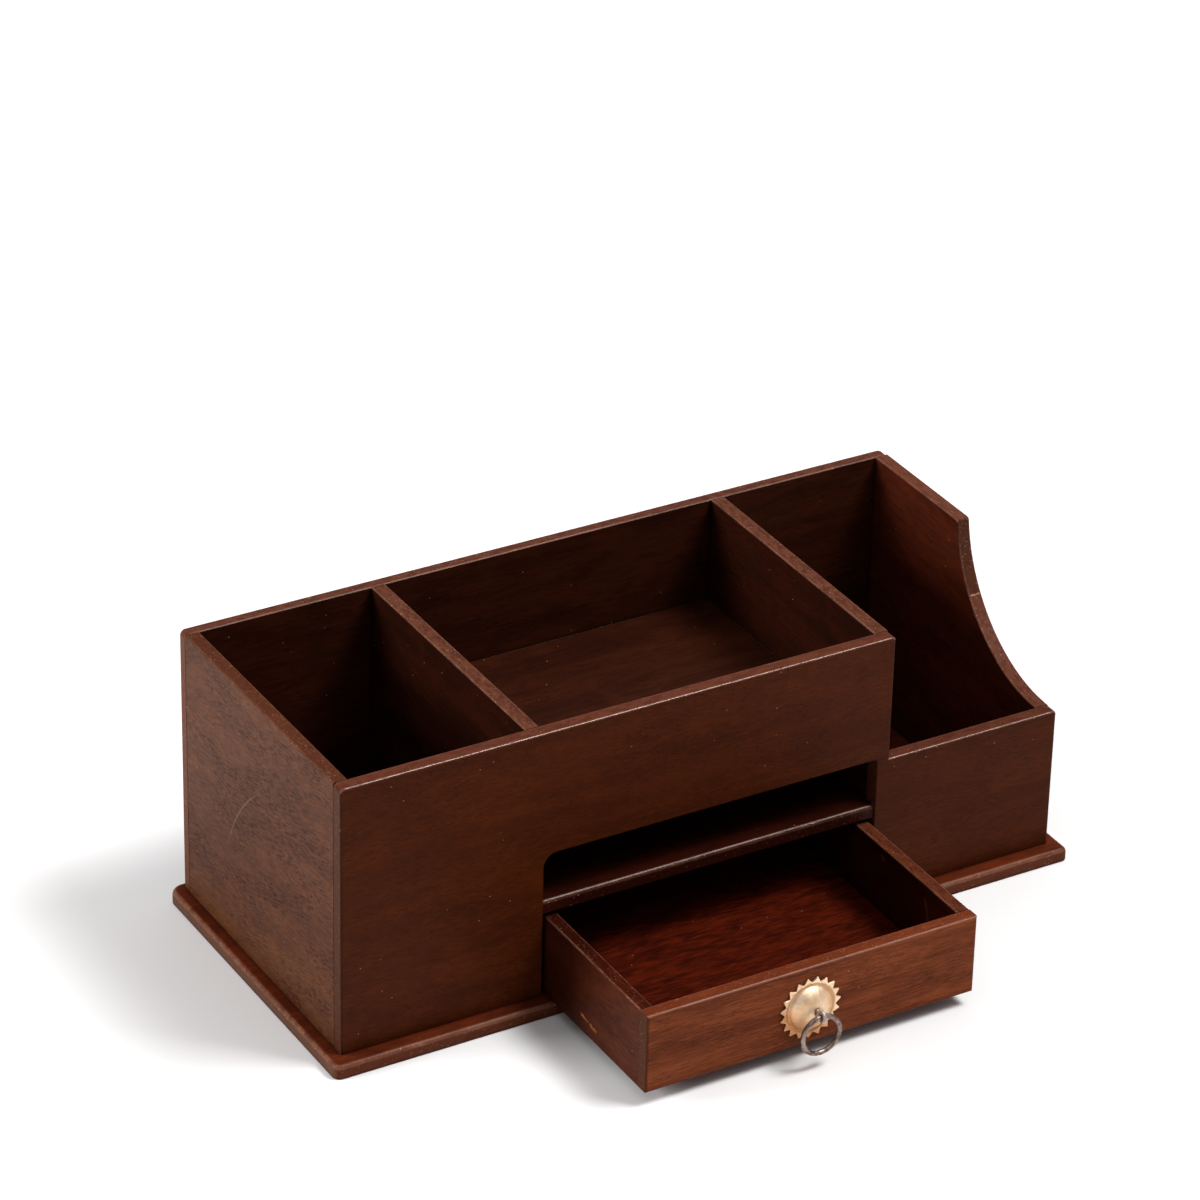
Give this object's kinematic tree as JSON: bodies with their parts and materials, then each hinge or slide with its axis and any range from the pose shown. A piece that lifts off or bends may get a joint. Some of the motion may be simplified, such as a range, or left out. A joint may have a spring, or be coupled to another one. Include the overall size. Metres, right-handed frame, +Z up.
{
  "type": "pen stand with drawer",
  "caption": "Wooden desk stand with a deep letter bay, a shallow tray over an open slot and a drawer with a ring pull, and a pen bay with low front and scooped side.",
  "frame": {"origin": "on the base board's underside, at the middle of the case's length and depth", "axes": "+X along the length to the right as seen from the front, +Y to the back, +Z up; the drawer opens towards -Y"},
  "size_m": [0.3576, 0.2426, 0.1325],
  "materials": {
    "case_wood": "dark red-brown lacquer, satin",
    "drawer_wood": "red-brown lacquer, satin",
    "rosette_brass": "satin pressed brass",
    "pull_steel": "dulled steel wire",
    "brad_steel": "bright steel"
  },
  "bodies": {
    "cabinet": {"base_board": "case_wood", "left_side": "case_wood", "right_side": "case_wood", "back_panel": "case_wood", "front_panel": "case_wood", "left_partition": "case_wood", "right_partition": "case_wood", "tray_floor": "case_wood", "slot_shelf": "case_wood", "base_brads": "brad_steel", "back_brads": "brad_steel", "partition_brads": "brad_steel"},
    "drawer": {"drawer_front": "drawer_wood", "drawer_left_side": "drawer_wood", "drawer_right_side": "drawer_wood", "drawer_back": "drawer_wood", "drawer_bottom": "drawer_wood", "drawer_brads": "brad_steel", "pull_rosette": "rosette_brass", "pull_eye": "pull_steel"},
    "ring": {"pull_ring": "pull_steel"}
  },
  "joints": [
    {"name": "drawer_slide", "type": "slide", "parent": "cabinet", "child": "drawer", "axis": [0, -1, 0], "range_m": [-0.0823, 0.018]},
    {"name": "ring_swing", "type": "hinge", "parent": "drawer", "child": "ring", "pos_m": [-0.0008, -0.16425, 0.0253], "axis": [-1, 0, 0], "range_deg": [-24, 200]}
  ]
}
